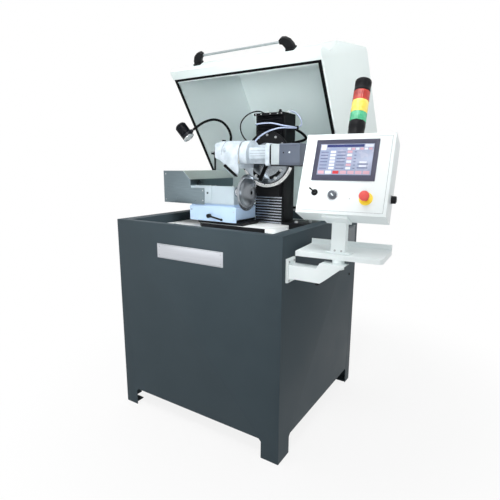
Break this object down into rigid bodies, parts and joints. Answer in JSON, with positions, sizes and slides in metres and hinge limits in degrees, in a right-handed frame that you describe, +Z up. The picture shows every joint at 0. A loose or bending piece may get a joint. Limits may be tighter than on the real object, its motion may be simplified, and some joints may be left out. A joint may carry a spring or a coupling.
{
  "type": "circular knife grinder",
  "caption": "Floor-standing circular knife grinder: sheet cabinet, raised hood, knife spindle on a slide, tilting wheel head on a lift column, panel on a side arm.",
  "frame": {"origin": "centre of the bounding box at floor level, hood open", "axes": "+Z up, +X to the right along the cabinet front, +Y from the front to the back"},
  "size_m": [1.392, 1.4564, 1.9936],
  "materials": {
    "slate_paint": "fine textured powder coat",
    "white_paint": "smooth semi-gloss powder coat",
    "hood_paint": "smooth semi-gloss powder coat",
    "pale_blue_paint": "smooth satin paint",
    "grey_paint": "satin",
    "black_paint": "satin black",
    "motor_grey": "satin",
    "stainless": "brushed stainless",
    "brushed_plate": "brushed",
    "machined_steel": "ground and turned",
    "knife_steel": "ground, bright",
    "chromed": "polished",
    "aluminium_tube": "satin anodised",
    "way_cover_silver": "pleated, black with bright edges",
    "black_rubber": "matte",
    "black_plastic": "matte",
    "dark_plastic": "matte",
    "lamp_black": "satin, ribbed",
    "scale_white": "satin with black ticks",
    "abrasive": "vitrified abrasive, grainy",
    "clear_hose": "translucent pale hose",
    "screen": "glass over a lit display",
    "yellow_plastic": "satin",
    "red_plastic": "satin",
    "lens_green": "ribbed translucent lens",
    "lens_yellow": "ribbed translucent lens",
    "lens_red": "ribbed translucent lens"
  },
  "bodies": {
    "stand": {"cabinet_shell": "slate_paint", "badge_plate": "brushed_plate", "vent_grille": "grey_paint", "side_plug": "black_plastic", "coolant_tank": "grey_paint", "drip_tray": "stainless", "hinge_fixed": "machined_steel", "base_casting": "black_paint", "slide_base": "black_paint", "column_body": "black_paint", "lower_bellows": "way_cover_silver", "upper_bellows": "black_rubber", "lamp_bracket": "black_paint", "lamp_neck": "black_rubber", "coolant_riser": "black_paint", "cable_loop": "black_rubber", "coolant_hoses": "clear_hose", "power_cable": "black_rubber", "panel_arm": "white_paint"},
    "hood": {"hood_shell": "hood_paint", "hood_seal": "black_rubber", "hinge_hood": "machined_steel", "handle_tube": "aluminium_tube", "handle_bracket_left": "black_plastic", "handle_bracket_right": "black_plastic"},
    "lift_carriage": {"carriage": "black_paint", "angle_scale": "scale_white"},
    "grinding_head": {"swivel_plate": "machined_steel", "head_casting": "white_paint", "wheel_guard": "white_paint", "spindle_housing": "white_paint", "motor_adapter": "white_paint", "spindle_motor": "motor_grey", "coolant_nozzle": "black_plastic"},
    "wheel": {"grinding_spindle": "machined_steel", "grinding_wheel": "abrasive"},
    "work_slide_body": {"work_slide": "pale_blue_paint", "workhead_block": "white_paint", "workhead_cover": "stainless"},
    "clamp_lever_body": {"clamp_lever": "black_plastic"},
    "knife": {"work_spindle": "machined_steel", "knife_disc": "knife_steel", "knife_flange": "machined_steel"},
    "lamp": {"lamp_head": "lamp_black"},
    "tap": {"tap_lever": "machined_steel"},
    "panel": {"shelf": "white_paint", "post": "white_paint", "panel_box": "white_paint", "screen_bezel": "dark_plastic", "screen_glass": "screen", "estop_ring": "yellow_plastic", "stack_base": "black_plastic", "stack_green": "lens_green", "stack_yellow": "lens_yellow", "stack_red": "lens_red", "stack_cap": "black_plastic"},
    "estop": {"estop_button": "red_plastic"},
    "selector": {"selector_knob": "black_plastic"},
    "toggle": {"toggle_lever": "chromed"},
    "side_knob_body": {"side_knob": "black_plastic"}
  },
  "joints": [
    {"name": "hood_hinge", "type": "hinge", "parent": "stand", "child": "hood", "pos_m": [-0.69601, 0.19838, 1.05], "axis": [1, 0, 0], "range_deg": [0, 56.16]},
    {"name": "head_lift", "type": "slide", "parent": "stand", "child": "lift_carriage", "axis": [0, 0, 1], "range_m": [-0.05, 0.06], "deforming": ["upper_bellows", "lower_bellows", "cable_loop", "coolant_hoses"]},
    {"name": "head_tilt", "type": "hinge", "parent": "lift_carriage", "child": "grinding_head", "pos_m": [-0.05101, -0.27362, 1.376], "axis": [0, 1, 0], "range_deg": [0, 30], "deforming": ["cable_loop", "coolant_hoses"]},
    {"name": "wheel_spin", "type": "hinge", "parent": "grinding_head", "child": "wheel", "pos_m": [-0.11101, -0.40092, 1.38], "axis": [1, 0, 0], "continuous": true},
    {"name": "work_feed", "type": "slide", "parent": "stand", "child": "work_slide_body", "axis": [1, 0, 0], "range_m": [0, 0.06]},
    {"name": "clamp_turn", "type": "hinge", "parent": "work_slide_body", "child": "clamp_lever_body", "pos_m": [-0.30111, -0.44022, 1.0661], "axis": [0, 1, 0], "range_deg": [-80, 28]},
    {"name": "knife_spin", "type": "hinge", "parent": "work_slide_body", "child": "knife", "pos_m": [-0.09101, -0.40092, 1.1938], "axis": [1, 0, 0], "continuous": true},
    {"name": "lamp_turn", "type": "hinge", "parent": "stand", "child": "lamp", "pos_m": [-0.50728, -0.33218, 1.51613], "axis": [0, 1, 0], "range_deg": [-25, 25]},
    {"name": "tap_turn", "type": "hinge", "parent": "stand", "child": "tap", "pos_m": [-0.58801, -0.01192, 1.4103], "axis": [0, 0, 1], "range_deg": [0, 90]},
    {"name": "panel_swivel", "type": "hinge", "parent": "stand", "child": "panel", "pos_m": [0.49399, -0.63592, 0.9655], "axis": [0, 0, 1], "range_deg": [-60, 3]},
    {"name": "estop_push", "type": "slide", "parent": "panel", "child": "estop", "axis": [-0.0808, 0.9237, -0.3746], "range_m": [0, 0.006], "stiffness_N_per_m": 900},
    {"name": "selector_turn", "type": "hinge", "parent": "panel", "child": "selector", "pos_m": [0.47396, -0.68082, 1.2204], "axis": [-0.0808, 0.9237, -0.3746], "range_deg": [-45, 45]},
    {"name": "toggle_flip", "type": "hinge", "parent": "panel", "child": "toggle", "pos_m": [0.40274, -0.69297, 1.23249], "axis": [0.9962, 0.0872, 0], "range_deg": [0, 24]},
    {"name": "side_knob_turn", "type": "hinge", "parent": "panel", "child": "side_knob_body", "pos_m": [0.67279, -0.61397, 1.20804], "axis": [0.9962, 0.0872, 0], "range_deg": [-135, 135]}
  ]
}
